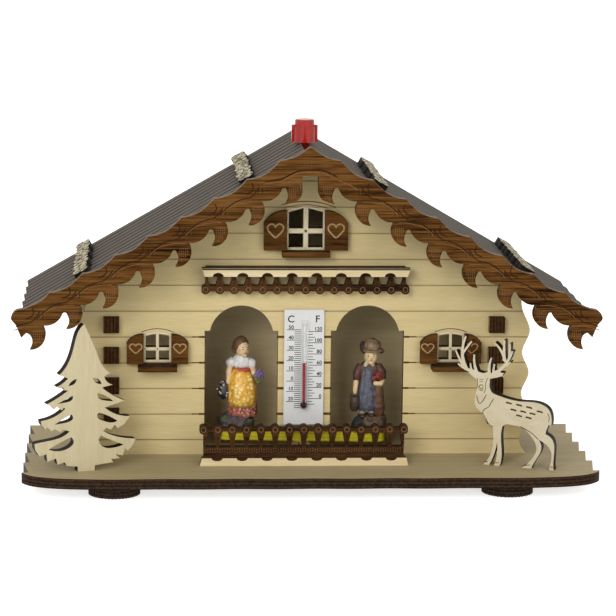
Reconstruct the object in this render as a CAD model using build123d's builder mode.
from build123d import *
import os
from math import cos, pi, radians, sin, tan

# Weather house: a plywood chalet whose two figures hang from a gut string.
# X runs along the front, +X to the right, +Y to the back, +Z up.
# The origin is the middle of the outer box, on the surface the feet stand on.

os.makedirs("parts", exist_ok=True)

# Sheet thicknesses
ply = 4.0
roof_ply = 3.0
glue_gap = 0.05
slot_gap = 0.1

# Heights
foot_height = 5.0
base_top = foot_height + ply
ridge_top = 129.4
roof_pitch = radians(30.0)

# Depths, from the front face of the front wall
wall_face = -9.8
wall_back = wall_face + ply
inside_depth = 38.0
rear_face = wall_back + inside_depth
hang_axis_y = wall_face + 14.0
fence_face = wall_face - 20.0
board_face = wall_face - 24.8
base_front = wall_face - 40.0
base_tooth_front = wall_face - 28.4
roof_back = wall_face + 59.6

# Widths, from the centre line of the house
eave_x = 108.3
base_half = 109.1
base_shift = 1.8
log_end_x = 85.8
side_wall_x = 74.0
beam_end = 6.0
beam_end_out = 3.2

# Repeats
log_pitch = 10.07
first_log_line = 14.8
log_waves = 16.0
tooth_pitch = 15.88
tooth_count = 5
tooth_depth = 2.5


def upright(back_y):
    """A sketch plane whose extrusion runs from back_y towards the front."""
    return Plane.XZ.offset(-back_y)


def roof_line(x):
    """Height of the outer roof surface at a distance from the centre line."""
    return ridge_top - abs(x) * tan(roof_pitch)


def underside(x):
    """Height of the roof's lower surface, with the thickness of the glue line."""
    return roof_line(x) - (roof_ply + glue_gap) / cos(roof_pitch)


def save(piece, name):
    piece.part.label = name
    export_step(piece.part, "parts/" + name + ".step")


# Base plate: wavy front edge, five saw teeth along each side
tooth_tips = [base_tooth_front + tooth_pitch * i for i in range(tooth_count + 1)]
base_back = tooth_tips[-1]
front_wave = 0.5
front_bulge_x = 84.0
feet_x = 74.5
feet_front = wall_face - 24.8
feet_back = wall_face + 36.0
foot_radius = 9.8

wall_tab_x = 61.0
wall_tab_width = 12.0
side_tab_y = wall_back + 0.5 * inside_depth
side_tab_length = 14.0
fence_tab_x = 28.0
fence_tab_width = 8.0
fence_rail_y = fence_face + 1.5 * ply

tree_at = (-83.2, wall_face - 26.5)
tree_turn = 18.0
deer_at = (79.0, wall_face - 23.0)
deer_turn = -22.0
tree_tab = 6.6
deer_tab = 1.9
deer_hooves = (-11.1, -6.8, 4.7, 14.5)
ornament_ply = 4.0

guide_bush_radius = 4.0

with BuildPart() as base_plate:
    with BuildSketch(Plane.XY.offset(foot_height)):
        with BuildLine():
            left = base_shift - base_half
            right = base_shift + base_half
            for i in range(tooth_count):
                Line((left, tooth_tips[i]), (left + tooth_depth, tooth_tips[i]))
                Line((left + tooth_depth, tooth_tips[i]), (left, tooth_tips[i + 1]))
                Line((right, tooth_tips[i]), (right - tooth_depth, tooth_tips[i]))
                Line((right - tooth_depth, tooth_tips[i]), (right, tooth_tips[i + 1]))
            Line((left, base_back), (right, base_back))
            corner = [
                (left, tooth_tips[0]),
                (left + 3.0, tooth_tips[0] - 4.6),
                (left + 12.0, base_front + 2.4),
                (base_shift - front_bulge_x, base_front + 0.5),
            ]
            Spline(*corner)
            Spline(*[(2 * base_shift - x, y) for x, y in corner])
            waves = [
                (base_shift + front_bulge_x * (i / 6 - 1), base_front + front_wave * (i % 2 == 0))
                for i in range(13)
            ]
            Spline(*waves)
        make_face()
        # slots for the tabs of the walls, the fence, the tree and the deer
        with Locations((-wall_tab_x, wall_face + ply / 2), (wall_tab_x, wall_face + ply / 2)):
            Rectangle(wall_tab_width + slot_gap, ply + slot_gap, mode=Mode.SUBTRACT)
        with Locations((-wall_tab_x, rear_face + ply / 2), (wall_tab_x, rear_face + ply / 2)):
            Rectangle(wall_tab_width + slot_gap, ply + slot_gap, mode=Mode.SUBTRACT)
        with Locations((-side_wall_x, side_tab_y), (side_wall_x, side_tab_y)):
            Rectangle(beam_end + slot_gap, side_tab_length + slot_gap, mode=Mode.SUBTRACT)
        with Locations((-fence_tab_x, fence_rail_y), (fence_tab_x, fence_rail_y)):
            Rectangle(fence_tab_width + slot_gap, ply + slot_gap, mode=Mode.SUBTRACT)
        with Locations(Location((tree_at[0], tree_at[1]), tree_turn)):
            with Locations((0, ornament_ply / 2)):
                Rectangle(tree_tab + slot_gap, ornament_ply + slot_gap, mode=Mode.SUBTRACT)
        with Locations(Location((deer_at[0], deer_at[1]), deer_turn)):
            with Locations(*[(hoof, ornament_ply / 2) for hoof in deer_hooves]):
                Rectangle(deer_tab + slot_gap, ornament_ply + slot_gap, mode=Mode.SUBTRACT)
        with Locations((0, hang_axis_y)):
            Circle(guide_bush_radius, mode=Mode.SUBTRACT)
    extrude(amount=ply)
save(base_plate, "base_plate")

# Four ribbed foot discs under the base
foot_ribs = 44
rib_depth = 0.5
with BuildPart() as feet:
    with BuildSketch():
        with Locations(*[(base_shift + sx * feet_x, y) for sx in (-1, 1) for y in (feet_front, feet_back)]):
            Circle(foot_radius)
            with PolarLocations(foot_radius, foot_ribs):
                Circle(rib_depth, mode=Mode.SUBTRACT)
    extrude(amount=foot_height - glue_gap)
save(feet, "feet")

# Front wall: two arched doorways joined below by a slot for the carrier
arch_x = 24.25
arch_half = 14.11
arch_shoulder_half = 12.1
arch_shoulder = 57.5
arch_top = 67.36
pier_bottom = 20.5
window_x = 56.4
window_bottom = 46.2
window_row = 3.6
window_bar = 1.3
window_top_row = 4.4
window_pane = 3.9
window_mullion = 1.15
window_arch = 0.7
attic_bottom = 89.9
attic_row = 5.3
attic_bar = 2.0
attic_top_row = 6.2
attic_pane = 5.55
attic_mullion = 1.9
attic_arch = 1.7
beam_end_tops = [63.13 - 11.9 * i for i in range(4)]
groove_width = 0.5
groove_depth = 0.35


def wall_outline():
    """Gable wall whose side edges swell at each log end."""
    crest = 1.35
    steps = 9
    side = []
    for i in range(steps):
        side.append((log_end_x + crest * (-1) ** i, base_top + log_waves / 2 * i))
    side[-1] = (side[-1][0], underside(side[-1][0]))
    for sign in (-1, 1):
        Spline(*[(sign * x, z) for x, z in side])
        Line((sign * side[-1][0], side[-1][1]), (0, underside(0)))
    Line((-side[0][0], base_top), (side[0][0], base_top))


def pane(inner, outer, bottom, side_top, crown_top):
    """One window pane; its top rises from the outer side to the crown."""
    middle = (inner + outer) / 2
    top = side_top + 0.7 * (crown_top - side_top)
    Polygon(
        (inner, bottom), (outer, bottom), (outer, side_top), (middle, top), (inner, crown_top),
        align=None, mode=Mode.SUBTRACT,
    )


def window_panes(centre, bottom, width, mullion, row, bar, top_row, arch):
    """Four panes, the upper two under a shallow arch."""
    upper = bottom + row + bar
    for sign in (-1, 1):
        inner = centre + sign * mullion / 2
        outer = inner + sign * width
        pane(inner, outer, bottom, bottom + row, bottom + row)
        pane(inner, outer, upper, upper + top_row, upper + top_row + arch)


side_tab_cuts = [(side * side_wall_x, top - beam_end / 2) for side in (-1, 1) for top in beam_end_tops]
wall_tab_spots = [(side * wall_tab_x, base_top - ply / 2) for side in (-1, 1)]
log_rows = [first_log_line + log_pitch * i for i in range(11)]

with BuildPart() as front_wall:
    with BuildSketch(upright(wall_back)):
        with BuildLine():
            wall_outline()
        make_face()
        # doorways, joined below the pier by the carrier's slot
        with Locations((0, (base_top + pier_bottom) / 2)):
            Rectangle(2 * (arch_x + arch_half), pier_bottom - base_top, mode=Mode.SUBTRACT)
        with Locations((-arch_x, (pier_bottom + arch_shoulder) / 2), (arch_x, (pier_bottom + arch_shoulder) / 2)):
            Rectangle(2 * arch_half, arch_shoulder - pier_bottom, mode=Mode.SUBTRACT)
        for side in (-1, 1):
            with BuildLine():
                springing = (side * arch_x - arch_shoulder_half, arch_shoulder)
                landing = (side * arch_x + arch_shoulder_half, arch_shoulder)
                ThreePointArc(springing, (side * arch_x, arch_top), landing)
                Line(landing, springing)
            make_face(mode=Mode.SUBTRACT)
            window_panes(
                side * window_x, window_bottom, window_pane, window_mullion,
                window_row, window_bar, window_top_row, window_arch,
            )
        window_panes(
            0, attic_bottom, attic_pane, attic_mullion,
            attic_row, attic_bar, attic_top_row, attic_arch,
        )
        # mortises for the side walls' beam ends, and tabs that stand in the base
        with Locations(*side_tab_cuts):
            Rectangle(beam_end + slot_gap, beam_end + slot_gap, mode=Mode.SUBTRACT)
        with Locations(*wall_tab_spots):
            Rectangle(wall_tab_width, ply)
    extrude(amount=ply)
    with Locations(*[(0, wall_face + groove_depth / 2, z) for z in log_rows]):
        Box(4 * log_end_x, groove_depth, groove_width, mode=Mode.SUBTRACT)
save(front_wall, "front_wall")

with BuildPart() as back_wall:
    with BuildSketch(upright(rear_face + ply)):
        with BuildLine():
            wall_outline()
        make_face()
        with Locations(*side_tab_cuts):
            Rectangle(beam_end + slot_gap, beam_end + slot_gap, mode=Mode.SUBTRACT)
        with Locations(*wall_tab_spots):
            Rectangle(wall_tab_width, ply)
    extrude(amount=ply)
    with Locations(*[(0, rear_face + ply - groove_depth / 2, z) for z in log_rows]):
        Box(4 * log_end_x, groove_depth, groove_width, mode=Mode.SUBTRACT)
save(back_wall, "back_wall")

# Side walls: their beams' ends pass through both gable walls
side_top = underside(side_wall_x + beam_end / 2) - glue_gap
house_middle = wall_back + inside_depth / 2
for side, name in ((-1, "left_side_wall"), (1, "right_side_wall")):
    with BuildPart() as side_wall:
        centre = side * side_wall_x
        with Locations((centre, house_middle, (base_top + glue_gap + side_top) / 2)):
            Box(beam_end, inside_depth - 2 * glue_gap, side_top - base_top - glue_gap)
        with Locations(*[(centre, house_middle, top - beam_end / 2) for top in beam_end_tops]):
            Box(beam_end, inside_depth + 2 * (ply + beam_end_out), beam_end)
        with Locations((centre, side_tab_y, base_top - ply / 2)):
            Box(beam_end, side_tab_length, ply + 2 * glue_gap)
        outer = side * (side_wall_x + beam_end / 2 - groove_depth / 2)
        with Locations(*[(outer, house_middle, z) for z in log_rows[:7]]):
            Box(groove_depth, inside_depth, groove_width, mode=Mode.SUBTRACT)
    save(side_wall, name)

# Attic floor, with a hole the gut string passes through
attic_floor_top = 80.0
attic_floor_thickness = 3.0
gut_hole_radius = 3.0
with BuildPart() as attic_floor:
    with BuildSketch(Plane.XY.offset(attic_floor_top)):
        with Locations((0, house_middle)):
            Rectangle(2 * (side_wall_x - beam_end / 2 - slot_gap), inside_depth - 2 * glue_gap)
        with Locations((0, hang_axis_y)):
            Circle(gut_hole_radius, mode=Mode.SUBTRACT)
    extrude(amount=-attic_floor_thickness)
save(attic_floor, "attic_floor")

# Roof sheets: square edges that meet along their lower corners at the ridge,
# and five saw teeth along each eave
roof_front = board_face + ply + glue_gap
roof_length = roof_back - roof_front
roof_middle = (roof_front + roof_back) / 2
eave_tooth = 1.3
roof_groove_pitch = roof_length / 10
roof_groove_width = 1.1
ridge_edge_x = roof_ply * sin(roof_pitch)
stem_radius = 2.0
stem_hole_radius = stem_radius + 0.4
slope_length = eave_x / cos(roof_pitch)


def roof_plane(side, lift):
    """Plane on a roof sheet: x runs down the slope, the origin is the ridge."""
    return Plane(
        origin=(0, roof_middle, ridge_top + lift / cos(roof_pitch)),
        x_dir=(side * cos(roof_pitch), 0, -sin(roof_pitch)),
        z_dir=(side * sin(roof_pitch), 0, cos(roof_pitch)),
    )


for side, name in ((-1, "roof_left"), (1, "roof_right")):
    with BuildPart() as roof:
        with BuildSketch(upright(roof_back)):
            with BuildLine():
                gap = side * glue_gap / 2
                drop = roof_ply / cos(roof_pitch)
                eave = (side * eave_x, roof_line(eave_x))
                lip = (eave[0] - side * ridge_edge_x, eave[1] - roof_ply * cos(roof_pitch))
                crown = (gap + side * ridge_edge_x, roof_line(ridge_edge_x))
                Polyline(crown, eave, lip, (gap, ridge_top - drop), close=True)
            make_face()
        extrude(amount=roof_length)
        # saw teeth along the eave
        with BuildSketch(Plane.XY.offset(roof_line(eave_x) - 2 * roof_ply)):
            pitch = roof_length / 5
            for i in range(5):
                start = roof_front + pitch * i
                Polygon(
                    (side * (eave_x + 1), start),
                    (side * (eave_x - eave_tooth), start),
                    (side * eave_x, start + pitch * 0.9),
                    (side * (eave_x + 1), start + pitch * 0.9),
                    align=None,
                )
        extrude(amount=4 * roof_ply, mode=Mode.SUBTRACT)
        # fine grooves up the slope
        with BuildSketch(roof_plane(side, 0)):
            with Locations(*[(slope_length / 2, roof_groove_pitch * (i - 4)) for i in range(9)]):
                Rectangle(slope_length + 4, roof_groove_width)
        extrude(amount=-groove_depth, mode=Mode.SUBTRACT)
        # the hole for the knob's stem, shared by both sheets
        with BuildSketch(Plane.XY.offset(ridge_top + 1)):
            with Locations((0, hang_axis_y)):
                Circle(stem_hole_radius)
        extrude(amount=-10, mode=Mode.SUBTRACT)
    save(roof, name)

# Stone strips that weigh down the roof: two staggered rows of uneven stones
strip_core = 4.6
strip_front = roof_front + 0.3
strip_back = roof_back - 3.0
strip_length = strip_back - strip_front
strip_middle = (strip_front + strip_back) / 2 - roof_middle
stone_count = 8
stone_pitch = strip_length / (stone_count + 0.3)
stone_row = 1.5
for side, side_name, places in ((-1, "left", (22.5, 84.2)), (1, "right", (26.0, 82.1))):
    for across, level in zip(places, ("upper", "lower")):
        with BuildPart() as strip:
            with BuildSketch(roof_plane(side, glue_gap)):
                down = across / cos(roof_pitch)
                with Locations((down, side * strip_middle)):
                    Rectangle(strip_core, strip_length - 3.0)
                for i in range(stone_count):
                    along = stone_pitch * (i - (stone_count - 1) / 2)
                    size = 0.22 * (-1) ** i
                    with Locations((down - stone_row, side * (strip_middle + along - 0.9))):
                        Ellipse(1.65 + size, 0.55 * stone_pitch + size)
                    with Locations((down + stone_row, side * (strip_middle + along + 0.9))):
                        Ellipse(1.65 - size, 0.55 * stone_pitch - size)
            extrude(amount=roof_ply)
        save(strip, "roof_stones_" + side_name + "_" + level)

# Bargeboard: eight scrolled hooks on each side of the gable
hook_pitch_x = 13.54
hook_pitch_z = 7.82
first_hook = (104.0, 55.0)
hooks = 8
hook_arcs = [
    ((5.6, 3.9), (4.52, 9.24)),
    ((9.4, 10.1), (12.1, 13.4)),
    ((12.95, 14.1), (13.9, 13.2)),
    ((14.6, 10.6), (hook_pitch_x, hook_pitch_z)),
]
# the last pair of hooks leaves a slot on the centre line
slot_half = 3.0
slot_top = 120.4
slot_side = [(6.4, 110.7), (4.3, 111.7), (3.3, 113.3), (slot_half, 115.6)]
board_end = [(0, 0), (0.77, 1.8), (0.88, 3.85), (0.22, 5.4), (-1.32, 6.35)]
# upper edge, from the apex out to the tail: seven crests of one shape
board_apex = [(0, 131.2), (1.7, 130.1), (3.3, 128.9), (5.2, 127.7), (7.0, 127.0), (9.3, 126.4)]
first_crest = (11.3, 126.0)
crest_pitch_x = 12.19
crest_pitch_z = 7.07
crests = 7
crest_shape = [(0, 0), (1.2, -1.35), (2.9, -3.0), (4.5, -4.4), (6.8, -5.7), (9.3, -6.6)]
board_tail = [
    (98.0, 74.9), (99.6, 73.5), (101.6, 72.3), (104.3, 71.1), (107.0, 70.2), (109.2, 69.7),
    (110.5, 68.3), (110.93, 66.8), (109.5, 64.8), (108.4, 62.6), (107.19, 59.53),
]


def on_board(side, row, point):
    """A point given from a hook's tip, towards the centre line and up."""
    return (side * (first_hook[0] - hook_pitch_x * row - point[0]), first_hook[1] + hook_pitch_z * row + point[1])


def on_crest(row, point=(0, 0)):
    """A point given from a crest of the upper edge, outwards and up."""
    return (first_crest[0] + crest_pitch_x * row + point[0], first_crest[1] - crest_pitch_z * row + point[1])


with BuildPart() as front_bargeboard:
    with BuildSketch(upright(board_face + ply)):
        with BuildLine():
            for side in (-1, 1):
                Spline(*[on_board(side, 0, point) for point in board_end])
                Line(on_board(side, 0, board_end[-1]), (side * board_tail[-1][0], board_tail[-1][1]))
                for row in range(crests):
                    wave = [on_crest(row, point) for point in crest_shape] + [on_crest(row + 1)]
                    Spline(*[(side * x, z) for x, z in wave])
                Spline(*[(side * x, z) for x, z in [on_crest(crests)] + board_tail])
                Spline(*[(side * x, z) for x, z in board_apex + [on_crest(0)]])
                for row in range(hooks - 1):
                    start = (0, 0)
                    for via, end in hook_arcs:
                        ThreePointArc(*[on_board(side, row, point) for point in (start, via, end)])
                        start = end
                tip = on_board(side, hooks - 1, (0, 0))
                Spline(tip, *[(side * x, z) for x, z in slot_side])
                Line((side * slot_half, slot_side[-1][1]), (side * slot_half, slot_top))
            Line((-slot_half, slot_top), (slot_half, slot_top))
        make_face()
    extrude(amount=ply)
save(front_bargeboard, "front_bargeboard")

# Ridge block: glued under both roof sheets, holds the knob's stem
running_gap = 0.05
block_half = 10.0
block_bottom = 110.0
block_peak_half = 0.5
with BuildPart() as ridge_block:
    with BuildSketch(upright(hang_axis_y + 9.0)):
        with BuildLine():
            Polyline(
                (-block_half, block_bottom), (block_half, block_bottom),
                (block_half, underside(block_half)), (block_peak_half, underside(block_peak_half)),
                (-block_peak_half, underside(block_peak_half)), (-block_half, underside(block_half)),
                close=True,
            )
        make_face()
    extrude(amount=18.0)
    with BuildSketch(Plane.XY.offset(block_bottom)):
        with Locations((0, hang_axis_y)):
            Circle(stem_radius + running_gap)
    extrude(amount=20.0, mode=Mode.SUBTRACT)
save(ridge_block, "ridge_block")

# Shutters beside the windows, and the sills below them
shutter_ply = 3.0
side_shutter = [(5.3, 45.05), (11.77, 45.05), (11.77, 53.2), (5.3, 56.5)]
attic_shutter = [(7.25, 89.1), (16.06, 89.1), (16.06, 99.6), (7.25, 104.4)]
for name, centre, corners, sag in (
    ("left_window_shutters", -window_x, side_shutter, 1.0),
    ("right_window_shutters", window_x, side_shutter, 1.0),
    ("attic_shutters", 0, attic_shutter, 1.3),
):
    with BuildPart() as shutters:
        with BuildSketch(upright(wall_face - glue_gap)):
            for side in (-1, 1):
                with BuildLine():
                    inner_low, outer_low, outer_high, inner_high = [(centre + side * x, z) for x, z in corners]
                    Polyline(inner_high, inner_low, outer_low, outer_high)
                    SagittaArc(outer_high, inner_high, -side * sag)
                make_face()
        extrude(amount=shutter_ply)
    save(shutters, name)

sill_thickness = 2.2
for name, centre, half, bottom, out in (
    ("left_sill", -window_x, 7.5, 42.8, 8.0),
    ("right_sill", window_x, 7.5, 42.8, 8.0),
    ("attic_sill", 0, 9.1, 86.7, 6.0),
):
    with BuildPart() as sill:
        with Locations((centre, wall_face - glue_gap - out / 2, bottom + sill_thickness / 2)):
            Box(2 * half, out, sill_thickness)
        chamfer(sill.edges().filter_by(Axis.X).group_by(Axis.Y)[0].sort_by(Axis.Z)[0], length=0.6)
    save(sill, name)

# Turned-rail pattern shared by the upper balcony and the lower fence
rail_pitch = 5.46
rail_bays = 14
rail_half = rail_pitch * rail_bays / 2
rail_knob_radius = 1.75
rail_end = 39.7
scallops = 8
neck_x = [rail_pitch * i for i in range(-7, 8)]
bay_x = [rail_pitch * (i + 0.5) for i in range(-7, 7)]


def bay(x, narrow, wide):
    """A gap between two turned necks, from its (half width, z) ends."""
    middle = (narrow[1] + wide[1]) / 2
    half = 0.35 * narrow[0] + 0.65 * wide[0]
    points = [narrow, (half, middle), wide]
    Polygon(
        *[(x + w, z) for w, z in points], *[(x - w, z) for w, z in reversed(points)],
        align=None, mode=Mode.SUBTRACT,
    )


with BuildPart() as upper_balcony_rail:
    with BuildSketch(upright(wall_face - glue_gap)):
        with Locations((0, (73.5 + 82.85) / 2)):
            Rectangle(2 * rail_half, 82.85 - 73.5)
        with Locations(*[(x, 74.1) for x in neck_x]):
            Circle(rail_knob_radius)
        with Locations((0, 78.0)):
            Rectangle(2 * rail_end, 20.0, mode=Mode.INTERSECT)
        for x in bay_x:
            bay(x, (1.1, 75.6), (2.0, 79.2))
    extrude(amount=ply - glue_gap)
save(upper_balcony_rail, "upper_balcony_rail")

with BuildPart() as upper_balcony_strip:
    with BuildSketch(upright(wall_face - ply - glue_gap)):
        Polygon((-39.7, 82.95), (39.7, 82.95), (38.6, 79.8), (-38.6, 79.8), align=None)
        with Locations(*[(9.35 * (i - 3.5) - 0.8, 79.8) for i in range(scallops)]):
            Ellipse(2.1, 1.5, mode=Mode.SUBTRACT)
    extrude(amount=ply - glue_gap)
save(upper_balcony_strip, "upper_balcony_strip")

fence_shift = -0.8
with BuildPart() as lower_fence_rail:
    with BuildSketch(upright(fence_face + 2 * ply)):
        with Locations((fence_shift, (base_top + glue_gap + 22.7) / 2)):
            Rectangle(2 * rail_half, 22.7 - base_top - glue_gap)
        with Locations(*[(fence_shift + x, 22.15) for x in neck_x]):
            Circle(rail_knob_radius)
        with Locations((fence_shift, 18.0)):
            Rectangle(2 * rail_end, 20.0, mode=Mode.INTERSECT)
        for x in bay_x:
            bay(fence_shift + x, (1.0, 21.5), (2.1, 15.4))
        with Locations((-fence_tab_x, base_top - ply / 2), (fence_tab_x, base_top - ply / 2)):
            Rectangle(fence_tab_width, ply + 4 * glue_gap)
    extrude(amount=ply - glue_gap)
save(lower_fence_rail, "lower_fence_rail")

with BuildPart() as lower_fence_strip:
    with BuildSketch(upright(fence_face + ply)):
        Polygon(
            (fence_shift - 39.7, base_top + glue_gap), (fence_shift + 39.7, base_top + glue_gap),
            (fence_shift + 38.9, 12.1), (fence_shift - 38.9, 12.1), align=None,
        )
        with Locations(*[(fence_shift + 9.46 * (i - 3.5), 12.1) for i in range(scallops)]):
            Ellipse(2.1, 1.1, mode=Mode.SUBTRACT)
    extrude(amount=ply)
save(lower_fence_strip, "lower_fence_strip")

# Thermometer: card on the pier, glass tube with a bulb, and its red column
card_x = -0.2
card_bottom = 20.93
card_height = 45.0
card_thickness = 1.2
tube_radius = 1.2
tube_bore = 0.6
bulb_z = 28.9
bulb_radius = 1.7
tube_top = 62.1
column_top = 45.4
tube_y = wall_face - card_thickness - bulb_radius - 2 * glue_gap
with BuildPart() as thermometer_card:
    with Locations((card_x, wall_face - glue_gap - card_thickness / 2, card_bottom + card_height / 2)):
        Box(15.3, card_thickness, card_height)
save(thermometer_card, "thermometer_card")

with BuildPart() as thermometer_tube:
    with BuildSketch(Plane.XY.offset(bulb_z)):
        with Locations((card_x, tube_y)):
            Circle(tube_radius)
    extrude(amount=tube_top - bulb_z)
    with Locations((card_x, tube_y, bulb_z)):
        Sphere(bulb_radius)
        Sphere(bulb_radius - 0.4, mode=Mode.SUBTRACT)
    with BuildSketch(Plane.XY.offset(bulb_z)):
        with Locations((card_x, tube_y)):
            Circle(tube_bore)
    extrude(amount=tube_top - 1.5 - bulb_z, mode=Mode.SUBTRACT)
save(thermometer_tube, "thermometer_tube")

with BuildPart() as thermometer_column:
    with Locations((card_x, tube_y, bulb_z)):
        Sphere(bulb_radius - 0.45)
    with BuildSketch(Plane.XY.offset(bulb_z)):
        with Locations((card_x, tube_y)):
            Circle(tube_bore - glue_gap)
    extrude(amount=column_top - bulb_z)
save(thermometer_column, "thermometer_column")

# Fir tree: one flat plate whose tiers end in saw teeth, with crescent cuts.
# Each side runs from the tip down: a tier's curved upper edge, then its toothed lower edge
tree_left = [
    [(-0.7, 56.0), (-3.1, 52.9), (-4.4, 48.6), (-5.8, 43.9), (-7.5, 40.5), (-10.3, 37.4)],
    [(-10.3, 37.4), (-6.9, 35.9)],
    [(-6.9, 35.9), (-8.9, 34.2), (-11.4, 32.9)],
    [(-11.4, 32.9), (-9.9, 32.2), (-8.9, 32.7), (-8.3, 31.5), (-6.9, 31.3)],
    [(-6.9, 31.3), (-9.8, 29.4), (-15.2, 26.6)],
    [(-15.2, 26.6), (-13.2, 25.6), (-12.2, 24.4), (-11.4, 25.5), (-9.3, 23.9), (-8.6, 24.9), (-8.0, 24.5)],
    [(-8.0, 24.5), (-10.6, 22.5), (-17.5, 20.4)],
    [(-17.5, 20.4), (-17.2, 18.8), (-15.7, 17.0), (-15.1, 17.9), (-13.2, 16.2), (-12.2, 17.0), (-9.9, 15.6),
     (-8.8, 16.5), (-6.4, 15.7)],
    [(-6.4, 15.7), (-8.6, 14.1), (-11.5, 13.1), (-20.0, 11.8)],
    [(-20.0, 11.8), (-19.7, 9.6), (-18.1, 6.9), (-15.4, 7.6), (-15.1, 4.7), (-11.7, 5.7), (-11.1, 3.3),
     (-8.4, 4.0), (-7.6, 2.5), (-3.3, 2.0)],
]
tree_right = [
    [(-0.5, 56.0), (1.2, 52.2), (3.8, 46.1), (6.6, 39.7), (9.6, 36.9)],
    [(9.6, 36.9), (7.1, 35.8)],
    [(7.1, 35.8), (8.4, 33.5), (10.5, 32.4)],
    [(10.5, 32.4), (6.2, 31.6)],
    [(6.2, 31.6), (8.1, 30.0), (15.3, 26.0)],
    [(15.3, 26.0), (7.3, 23.9)],
    [(7.3, 23.9), (10.5, 21.6), (17.2, 19.9)],
    [(17.2, 19.9), (14.8, 16.8), (12.3, 15.6), (11.2, 16.9), (9.7, 15.2), (8.0, 16.0), (6.6, 15.0)],
    [(6.6, 15.0), (9.3, 13.4), (12.3, 12.3), (19.5, 11.0)],
    [(19.5, 11.0), (17.8, 7.9), (16.3, 6.7), (15.2, 7.6), (14.4, 4.9), (11.4, 5.6), (13.3, 3.9), (9.8, 3.9),
     (10.6, 2.6), (3.3, 2.0)],
]
# crescent cuts: (lower edge from the trunk outwards, middle of the upper edge)
tree_cuts = [
    ([(-3.6, 35.5), (-3.8, 34.6), (-6.8, 33.0)], (-5.6, 34.6)),
    ([(-5.2, 29.2), (-5.1, 28.1), (-7.8, 26.8), (-11.2, 26.4)], (-8.5, 27.7)),
    ([(-5.6, 22.1), (-5.1, 20.5), (-7.8, 19.1), (-12.2, 18.6)], (-8.9, 20.6)),
    ([(-5.8, 13.4), (-4.9, 11.1), (-7.5, 9.0), (-10.8, 8.4), (-14.5, 9.3)], (-10.2, 11.6)),
    ([(2.5, 35.6), (3.3, 34.1), (6.1, 32.9)], (4.9, 34.8)),
    ([(4.6, 29.6), (4.6, 28.1), (7.4, 26.5), (10.7, 26.0)], (8.1, 28.0)),
    ([(4.9, 22.1), (4.4, 20.4), (7.0, 18.7), (10.1, 17.9), (12.3, 18.4)], (8.7, 20.6)),
    ([(5.8, 13.2), (5.0, 11.2), (6.4, 9.0), (10.1, 8.1), (14.7, 9.1)], (9.4, 11.4)),
]


def ornament_plane(at, turn):
    """Front face of a standing plate: x along the plate, y up."""
    angle = radians(turn)
    return Plane(
        origin=(at[0], at[1], base_top),
        x_dir=(cos(angle), sin(angle), 0),
        z_dir=(sin(angle), -cos(angle), 0),
    )


with BuildPart() as fir_tree:
    with BuildSketch(ornament_plane(tree_at, tree_turn)):
        with BuildLine():
            for tiers in (tree_left, tree_right):
                for upper_edge in tiers[0::2]:
                    Spline(*upper_edge)
                for lower_edge in tiers[1::2]:
                    Polyline(*lower_edge)
            Line(tree_left[0][0], tree_right[0][0])
            trunk = tree_tab / 2
            Line(tree_left[-1][-1], (-trunk, -ply - glue_gap))
            Line((-trunk, -ply - glue_gap), (trunk, -ply - glue_gap))
            Line((trunk, -ply - glue_gap), tree_right[-1][-1])
        make_face()
        for lower_edge, upper_middle in tree_cuts:
            with BuildLine():
                Spline(*lower_edge)
                Spline(lower_edge[-1], upper_middle, lower_edge[0])
            make_face(mode=Mode.SUBTRACT)
    extrude(amount=-ornament_ply)
save(fir_tree, "fir_tree")

# Deer: one flat plate, hooves tabbed into the base, antlers as tapered tines
deer_back = [
    (-10.4, 31.6), (-10.1, 29.6), (-9.2, 28.2), (-7.6, 27.5), (-3.1, 26.3), (2.4, 25.7),
    (8.4, 25.6), (12.9, 23.3), (14.0, 20.3), (13.9, 17.1),
]
deer_hind = [(13.9, 17.1), (13.0, 17.7), (12.0, 15.0), (11.9, 13.8), (15.2, 10.3), (15.4, 8.6), (15.2, 2.2), (15.45, 0)]
deer_hind_inner = [(13.55, 0), (14.4, 5.0), (14.1, 7.3), (13.1, 8.9), (9.2, 11.4)]
deer_near_hind = [(9.2, 11.4), (10.4, 8.2), (8.7, 4.0), (6.7, 0)]
deer_near_front = [(2.7, 0), (4.5, 1.2), (6.6, 3.6), (8.5, 7.3), (7.1, 11.5), (2.0, 16.0)]
deer_belly = [(2.0, 16.0), (-0.9, 16.3), (-3.5, 16.5), (-4.9, 15.5)]
deer_foreleg = [(-4.9, 15.5), (-5.3, 9.2), (-5.0, 5.7), (-5.7, 0)]
deer_foreleg_front = [(-7.9, 0), (-7.0, 3.1), (-6.9, 9.1)]
deer_far_foreleg = [(-6.9, 9.1), (-8.0, 4.2), (-9.8, 0)]
deer_far_front = [(-12.4, 0), (-10.1, 2.6), (-8.6, 7.0), (-8.8, 15.4)]
deer_chest = [(-8.8, 15.4), (-10.2, 16.1), (-12.1, 19.4), (-15.2, 21.8), (-16.1, 24.6), (-15.6, 27.5), (-15.3, 31.6)]
deer_head = [(-15.3, 31.0), (-15.6, 33.6), (-15.9, 36.2), (-13.0, 35.5), (-10.4, 36.3), (-10.3, 33.6), (-10.4, 31.0)]
deer_ears = [
    [(-10.9, 34.4), (-9.9, 35.7), (-7.4, 36.3), (-4.9, 36.2), (-5.6, 34.9), (-7.6, 34.2), (-10.7, 33.4)],
    [(-15.2, 34.8), (-16.6, 36.2), (-18.8, 35.4), (-17.2, 34.1), (-15.2, 32.8)],
]
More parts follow.
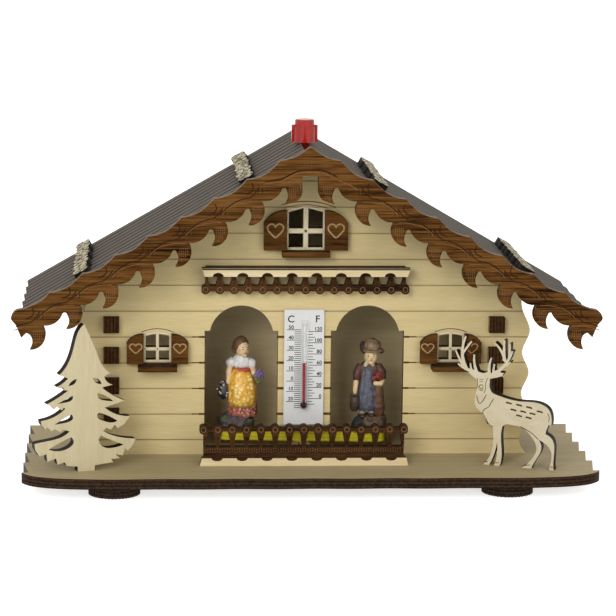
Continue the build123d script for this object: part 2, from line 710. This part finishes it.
# antlers: (base, bend, tip, width at the base, width at the tip)
deer_tines = [
    ((-10.6, 35.4), (-11.0, 38.6), (-9.9, 41.7), 1.3, 0.5), ((-9.0, 35.6), (-9.1, 37.6), (-8.6, 39.3), 1.0, 0.5),
    ((-8.9, 35.6), (-4.0, 38.0), (-1.8, 44.8), 1.6, 0.7), ((-4.4, 40.6), (-5.9, 45.4), (-8.8, 47.5), 1.2, 0.6),
    ((-4.9, 40.9), (-5.2, 45.0), (-5.0, 48.8), 1.3, 0.7), ((-3.2, 41.4), (-2.7, 44.4), (-2.8, 47.6), 0.9, 0.5),
    ((-5.8, 38.2), (-4.0, 38.7), (-2.4, 40.6), 0.9, 0.5), ((-15.4, 35.4), (-17.0, 39.0), (-16.6, 42.5), 1.3, 0.6),
    ((-17.1, 35.2), (-17.9, 37.2), (-18.1, 39.0), 1.0, 0.5), ((-15.8, 35.6), (-21.6, 36.9), (-22.9, 38.6), 1.5, 0.6),
    ((-19.6, 36.6), (-22.9, 42.4), (-20.1, 49.3), 1.6, 0.7), ((-21.5, 42.0), (-19.7, 45.0), (-17.7, 47.5), 1.0, 0.6),
    ((-20.6, 37.2), (-22.3, 40.0), (-23.9, 43.5), 1.1, 0.6),
]


def tine(base, bend, tip, wide, narrow):
    """A tapered stroke along a quadratic curve."""
    steps = 5
    left, right = [], []
    for i in range(steps + 1):
        t = i / steps
        x, y = [(1 - t) ** 2 * a + 2 * t * (1 - t) * b + t * t * c for a, b, c in zip(base, bend, tip)]
        dx, dy = [(1 - t) * (b - a) + t * (c - b) for a, b, c in zip(base, bend, tip)]
        half = 0.5 * (wide + t * (narrow - wide)) / (dx * dx + dy * dy) ** 0.5
        left.append((x - dy * half, y + dx * half))
        right.append((x + dy * half, y - dx * half))
    Polygon(*left, *reversed(right), align=None)


with BuildPart() as deer:
    with BuildSketch(ornament_plane(deer_at, deer_turn)):
        with BuildLine():
            Spline(*deer_back)
            Polyline(*deer_hind[:4])
            Spline(*deer_hind[3:])
            Spline(*deer_hind_inner)
            Spline(*deer_near_hind)
            Spline(*deer_near_front)
            Polyline(*deer_belly)
            Spline(*deer_foreleg)
            Spline(*deer_foreleg_front)
            Spline(*deer_far_foreleg)
            Spline(*deer_far_front)
            Spline(*deer_chest)
            Line(deer_hind[-1], deer_hind_inner[0])
            Line(deer_near_hind[-1], deer_near_front[0])
            Line(deer_foreleg[-1], deer_foreleg_front[0])
            Line(deer_far_foreleg[-1], deer_far_front[0])
            Line(deer_chest[-1], deer_back[0])
        make_face()
        Polygon(*deer_head, align=None)
        for ear in deer_ears:
            Polygon(*ear, align=None)
        for base, bend, tip, wide, narrow in deer_tines:
            tine(base, bend, tip, wide, narrow)
        with Locations(*[(hoof, -(ply + glue_gap - 0.3) / 2) for hoof in deer_hooves]):
            Rectangle(deer_tab, ply + glue_gap + 0.3)
    extrude(amount=-ornament_ply)
save(deer, "deer")

# Adjuster: red knob on the ridge, its stem turns in the ridge block
knob_bottom = roof_line(ridge_edge_x) + 0.3
knob_top = 137.5
knob_radius = 4.3
knob_cap_radius = 3.75
knob_rib_half = 5.0
knob_rib_top = 135.4
knob_shoulder = 134.9
clamp_radius = 3.5
clamp_height = 5.0
stem_bottom = block_bottom - 0.3 - clamp_height
gut_radius = 0.4
with BuildPart() as adjuster_knob:
    with Locations((0, hang_axis_y, (knob_bottom + knob_shoulder) / 2)):
        Cylinder(knob_radius, knob_shoulder - knob_bottom)
    with Locations((0, hang_axis_y, (knob_shoulder + knob_top) / 2)):
        Cylinder(knob_cap_radius, knob_top - knob_shoulder)
    chamfer(adjuster_knob.edges().filter_by(GeomType.CIRCLE).group_by(Axis.Z)[-1], length=0.4)
    with Locations((0, hang_axis_y, (knob_bottom + knob_rib_top) / 2)):
        Box(2 * knob_rib_half, 1.8, knob_rib_top - knob_bottom)
    with Locations((0, hang_axis_y, (stem_bottom + knob_bottom) / 2)):
        Cylinder(stem_radius, knob_bottom - stem_bottom)
    with Locations((0, hang_axis_y, stem_bottom)):
        Cylinder(gut_radius + running_gap, 8, align=(Align.CENTER, Align.CENTER, Align.CENTER), mode=Mode.SUBTRACT)
save(adjuster_knob, "adjuster_knob")

with BuildPart() as gut_clamp:
    with Locations((0, hang_axis_y, stem_bottom + clamp_height / 2)):
        Cylinder(clamp_radius, clamp_height)
        Cylinder(stem_radius + glue_gap, clamp_height, mode=Mode.SUBTRACT)
save(gut_clamp, "gut_clamp")

# Carrier: beam, hub and guide pin that hang on the gut string,
# turned a little at rest so that the right end stands nearer the front
beam_top = 15.1
beam_thickness = 3.4
beam_half = 32.6
beam_width = 7.0
carrier_turn = -4.0
beam_bottom = beam_top - beam_thickness
hub_radius = 4.5
hub_height = 9.0
hub_bottom = beam_top + glue_gap
pin_radius = 1.0
pin_bottom = 6.0
pin_top = hub_bottom + 2.0
gut_bottom = hub_bottom + 4.5
peg_radius = 1.0
girl_x = -25.0
boy_x = 25.8
girl_y = hang_axis_y + girl_x * sin(radians(carrier_turn))
boy_y = hang_axis_y + boy_x * sin(radians(carrier_turn))
peg_top = 19.0

with BuildPart() as gut_string:
    with Locations((0, hang_axis_y, (gut_bottom + stem_bottom + 3.5) / 2)):
        Cylinder(gut_radius, stem_bottom + 3.5 - gut_bottom)
save(gut_string, "gut_string")

with BuildPart() as carrier_beam:
    with BuildSketch(Plane.XY.offset(beam_bottom)):
        with Locations(Location((0, hang_axis_y), carrier_turn)):
            SlotOverall(2 * beam_half, beam_width)
        with Locations((0, hang_axis_y)):
            Circle(hub_radius + 0.4)
            Circle(pin_radius + glue_gap, mode=Mode.SUBTRACT)
        with Locations((girl_x, girl_y), (boy_x, boy_y)):
            Circle(peg_radius + glue_gap, mode=Mode.SUBTRACT)
    extrude(amount=beam_thickness)
save(carrier_beam, "carrier_beam")

wedge_z = hub_bottom + 6.5
wedge_radius = 0.6
with BuildPart() as carrier_hub:
    with Locations((0, hang_axis_y, hub_bottom + hub_height / 2)):
        Cylinder(hub_radius, hub_height)
    chamfer(carrier_hub.edges().filter_by(GeomType.CIRCLE).group_by(Axis.Z)[-1], length=0.6)
    with BuildSketch(Plane.XY.offset(hub_bottom)):
        with Locations((0, hang_axis_y)):
            Circle(pin_radius + glue_gap)
    extrude(amount=pin_top - hub_bottom + 0.2, mode=Mode.SUBTRACT)
    with BuildSketch(Plane.XY.offset(gut_bottom - 0.3)):
        with Locations((0, hang_axis_y)):
            Circle(gut_radius + running_gap)
    extrude(amount=hub_height, mode=Mode.SUBTRACT)
    with BuildSketch(Plane.YZ.offset(gut_radius + 0.6)):
        with Locations((hang_axis_y, wedge_z)):
            Circle(wedge_radius + glue_gap)
    extrude(amount=hub_radius, mode=Mode.SUBTRACT)
save(carrier_hub, "carrier_hub")

with BuildPart() as gut_wedge:
    with BuildSketch(Plane.YZ.offset(gut_radius + 0.7)):
        with Locations((hang_axis_y, wedge_z)):
            Circle(wedge_radius)
    extrude(amount=hub_radius)
    with BuildSketch(Plane.YZ.offset(hub_radius + 0.5)):
        with Locations((hang_axis_y, wedge_z)):
            Circle(2 * wedge_radius)
    extrude(amount=0.8)
save(gut_wedge, "gut_wedge")

with BuildPart() as guide_pin:
    with Locations((0, hang_axis_y, (pin_bottom + pin_top) / 2)):
        Cylinder(pin_radius, pin_top - pin_bottom)
    chamfer(guide_pin.edges().filter_by(GeomType.CIRCLE).group_by(Axis.Z)[0], length=0.35)
save(guide_pin, "guide_pin")

with BuildPart() as guide_bush:
    with Locations((0, hang_axis_y, foot_height + (ply + 0.8) / 2)):
        Cylinder(guide_bush_radius - glue_gap, ply + 0.8)
        Cylinder(pin_radius + running_gap, ply + 2, mode=Mode.SUBTRACT)
save(guide_bush, "guide_bush")

with BuildPart() as figure_pegs:
    with Locations(*[(x, y, (beam_bottom + peg_top) / 2) for x, y in ((girl_x, girl_y), (boy_x, boy_y))]):
        Cylinder(peg_radius, peg_top - beam_bottom)
save(figure_pegs, "figure_pegs")

# Figures: rounded doll shapes, each glued on its peg
figure_bottom = beam_top + glue_gap
girl_limbs = [
    ((-27.4, 0.2, 42.6), (-28.9, -1.6, 37.0), 1.5), ((-28.9, -1.6, 37.0), (-29.2, -2.6, 33.4), 1.2),
    ((-20.4, 0.2, 42.4), (-18.4, -1.6, 39.0), 1.5), ((-18.4, -1.6, 39.0), (-17.2, -2.4, 37.2), 1.1),
]
boy_limbs = [
    ((22.6, 0.0, 41.2), (20.9, -1.0, 36.4), 1.6), ((20.9, -1.0, 36.4), (20.9, -1.4, 31.0), 1.3),
    ((29.6, 0.0, 41.0), (31.5, -1.6, 37.2), 1.6), ((31.5, -1.6, 37.2), (28.2, -3.8, 35.0), 1.3),
    ((24.4, -0.6, 26.0), (24.4, -1.0, 21.6), 1.7), ((28.2, -0.6, 26.0), (28.2, -1.0, 21.6), 1.7),
]


def at_peg(y, points):
    """Lift a figure's points, given from its peg's line, into the house."""
    return [(px, y + py, pz) for px, py, pz in points]


with BuildPart() as girl_figure:
    # rock she stands on
    with Locations((-26.0, girl_y, (figure_bottom + 22.6) / 2)):
        Cylinder(6.7, 22.6 - figure_bottom)
    chamfer(girl_figure.edges().filter_by(GeomType.CIRCLE).group_by(Axis.Z)[-1], length=1.2)
    # skirt and blouse
    with Locations((-24.0, girl_y, 31.0)):
        Cone(6.4, 3.5, 18.0)
    with Locations((-23.9, girl_y, 41.8)):
        Cylinder(3.5, 5.0)
    with Locations((-23.8, girl_y, 44.4)):
        Cylinder(1.5, 3.0)
    # head and pinned hair
    with Locations((-23.6, girl_y - 0.4, 47.4)):
        Sphere(3.1)
    with Locations((-23.9, girl_y + 0.6, 48.8)):
        Sphere(3.5)
    for start, end, thick in girl_limbs:
        start, end = at_peg(girl_y, (start, end))
        reach = Vector(*end) - Vector(*start)
        with BuildSketch(Plane(origin=start, z_dir=reach)):
            Circle(thick)
        extrude(amount=reach.length)
        with Locations(start, end):
            Sphere(thick)
    # watering jug and flowers
    with Locations((-30.9, girl_y - 2.8, 31.6)):
        Cylinder(2.2, 5.8)
    with Locations((-16.6, girl_y - 2.6, 37.6)):
        Sphere(1.9)
    with Locations((-17.2, girl_y - 2.4, 35.2)):
        Sphere(1.4)
    with Locations((girl_x, girl_y, (figure_bottom + peg_top + 0.2) / 2)):
        Cylinder(peg_radius + glue_gap, peg_top + 0.2 - figure_bottom, mode=Mode.SUBTRACT)
save(girl_figure, "girl_figure")

with BuildPart() as boy_figure:
    # tree stump he stands on
    with Locations((26.1, boy_y, (figure_bottom + 21.8) / 2)):
        Cylinder(6.3, 21.8 - figure_bottom)
    chamfer(boy_figure.edges().filter_by(GeomType.CIRCLE).group_by(Axis.Z)[-1], length=1.0)
    # coat
    with Locations((26.3, boy_y, 32.6)):
        Cone(5.0, 3.7, 17.0)
    with Locations((26.2, boy_y, 41.1)):
        Sphere(3.6)
    # head and hat
    with Locations((26.9, boy_y - 0.6, 44.9)):
        Sphere(3.0)
    with Locations((27.3, boy_y - 0.2, 47.0)):
        Cone(4.4, 3.6, 1.4)
    with Locations((27.5, boy_y, 49.9)):
        Cone(3.3, 2.5, 4.6)
    for start, end, thick in boy_limbs:
        start, end = at_peg(boy_y, (start, end))
        reach = Vector(*end) - Vector(*start)
        with BuildSketch(Plane(origin=start, z_dir=reach)):
            Circle(thick)
        extrude(amount=reach.length)
        with Locations(start, end):
            Sphere(thick)
    # bucket and the bundle under his arm
    with Locations((20.5, boy_y - 1.4, 27.4)):
        Cone(1.9, 2.3, 6.0)
    with Locations((20.9, boy_y - 1.4, 30.6)):
        Cylinder(0.8, 2.4)
    with Locations((29.4, boy_y - 2.8, 36.2)):
        Sphere(2.6)
    with Locations((boy_x, boy_y, (figure_bottom + peg_top + 0.2) / 2)):
        Cylinder(peg_radius + glue_gap, peg_top + 0.2 - figure_bottom, mode=Mode.SUBTRACT)
save(boy_figure, "boy_figure")
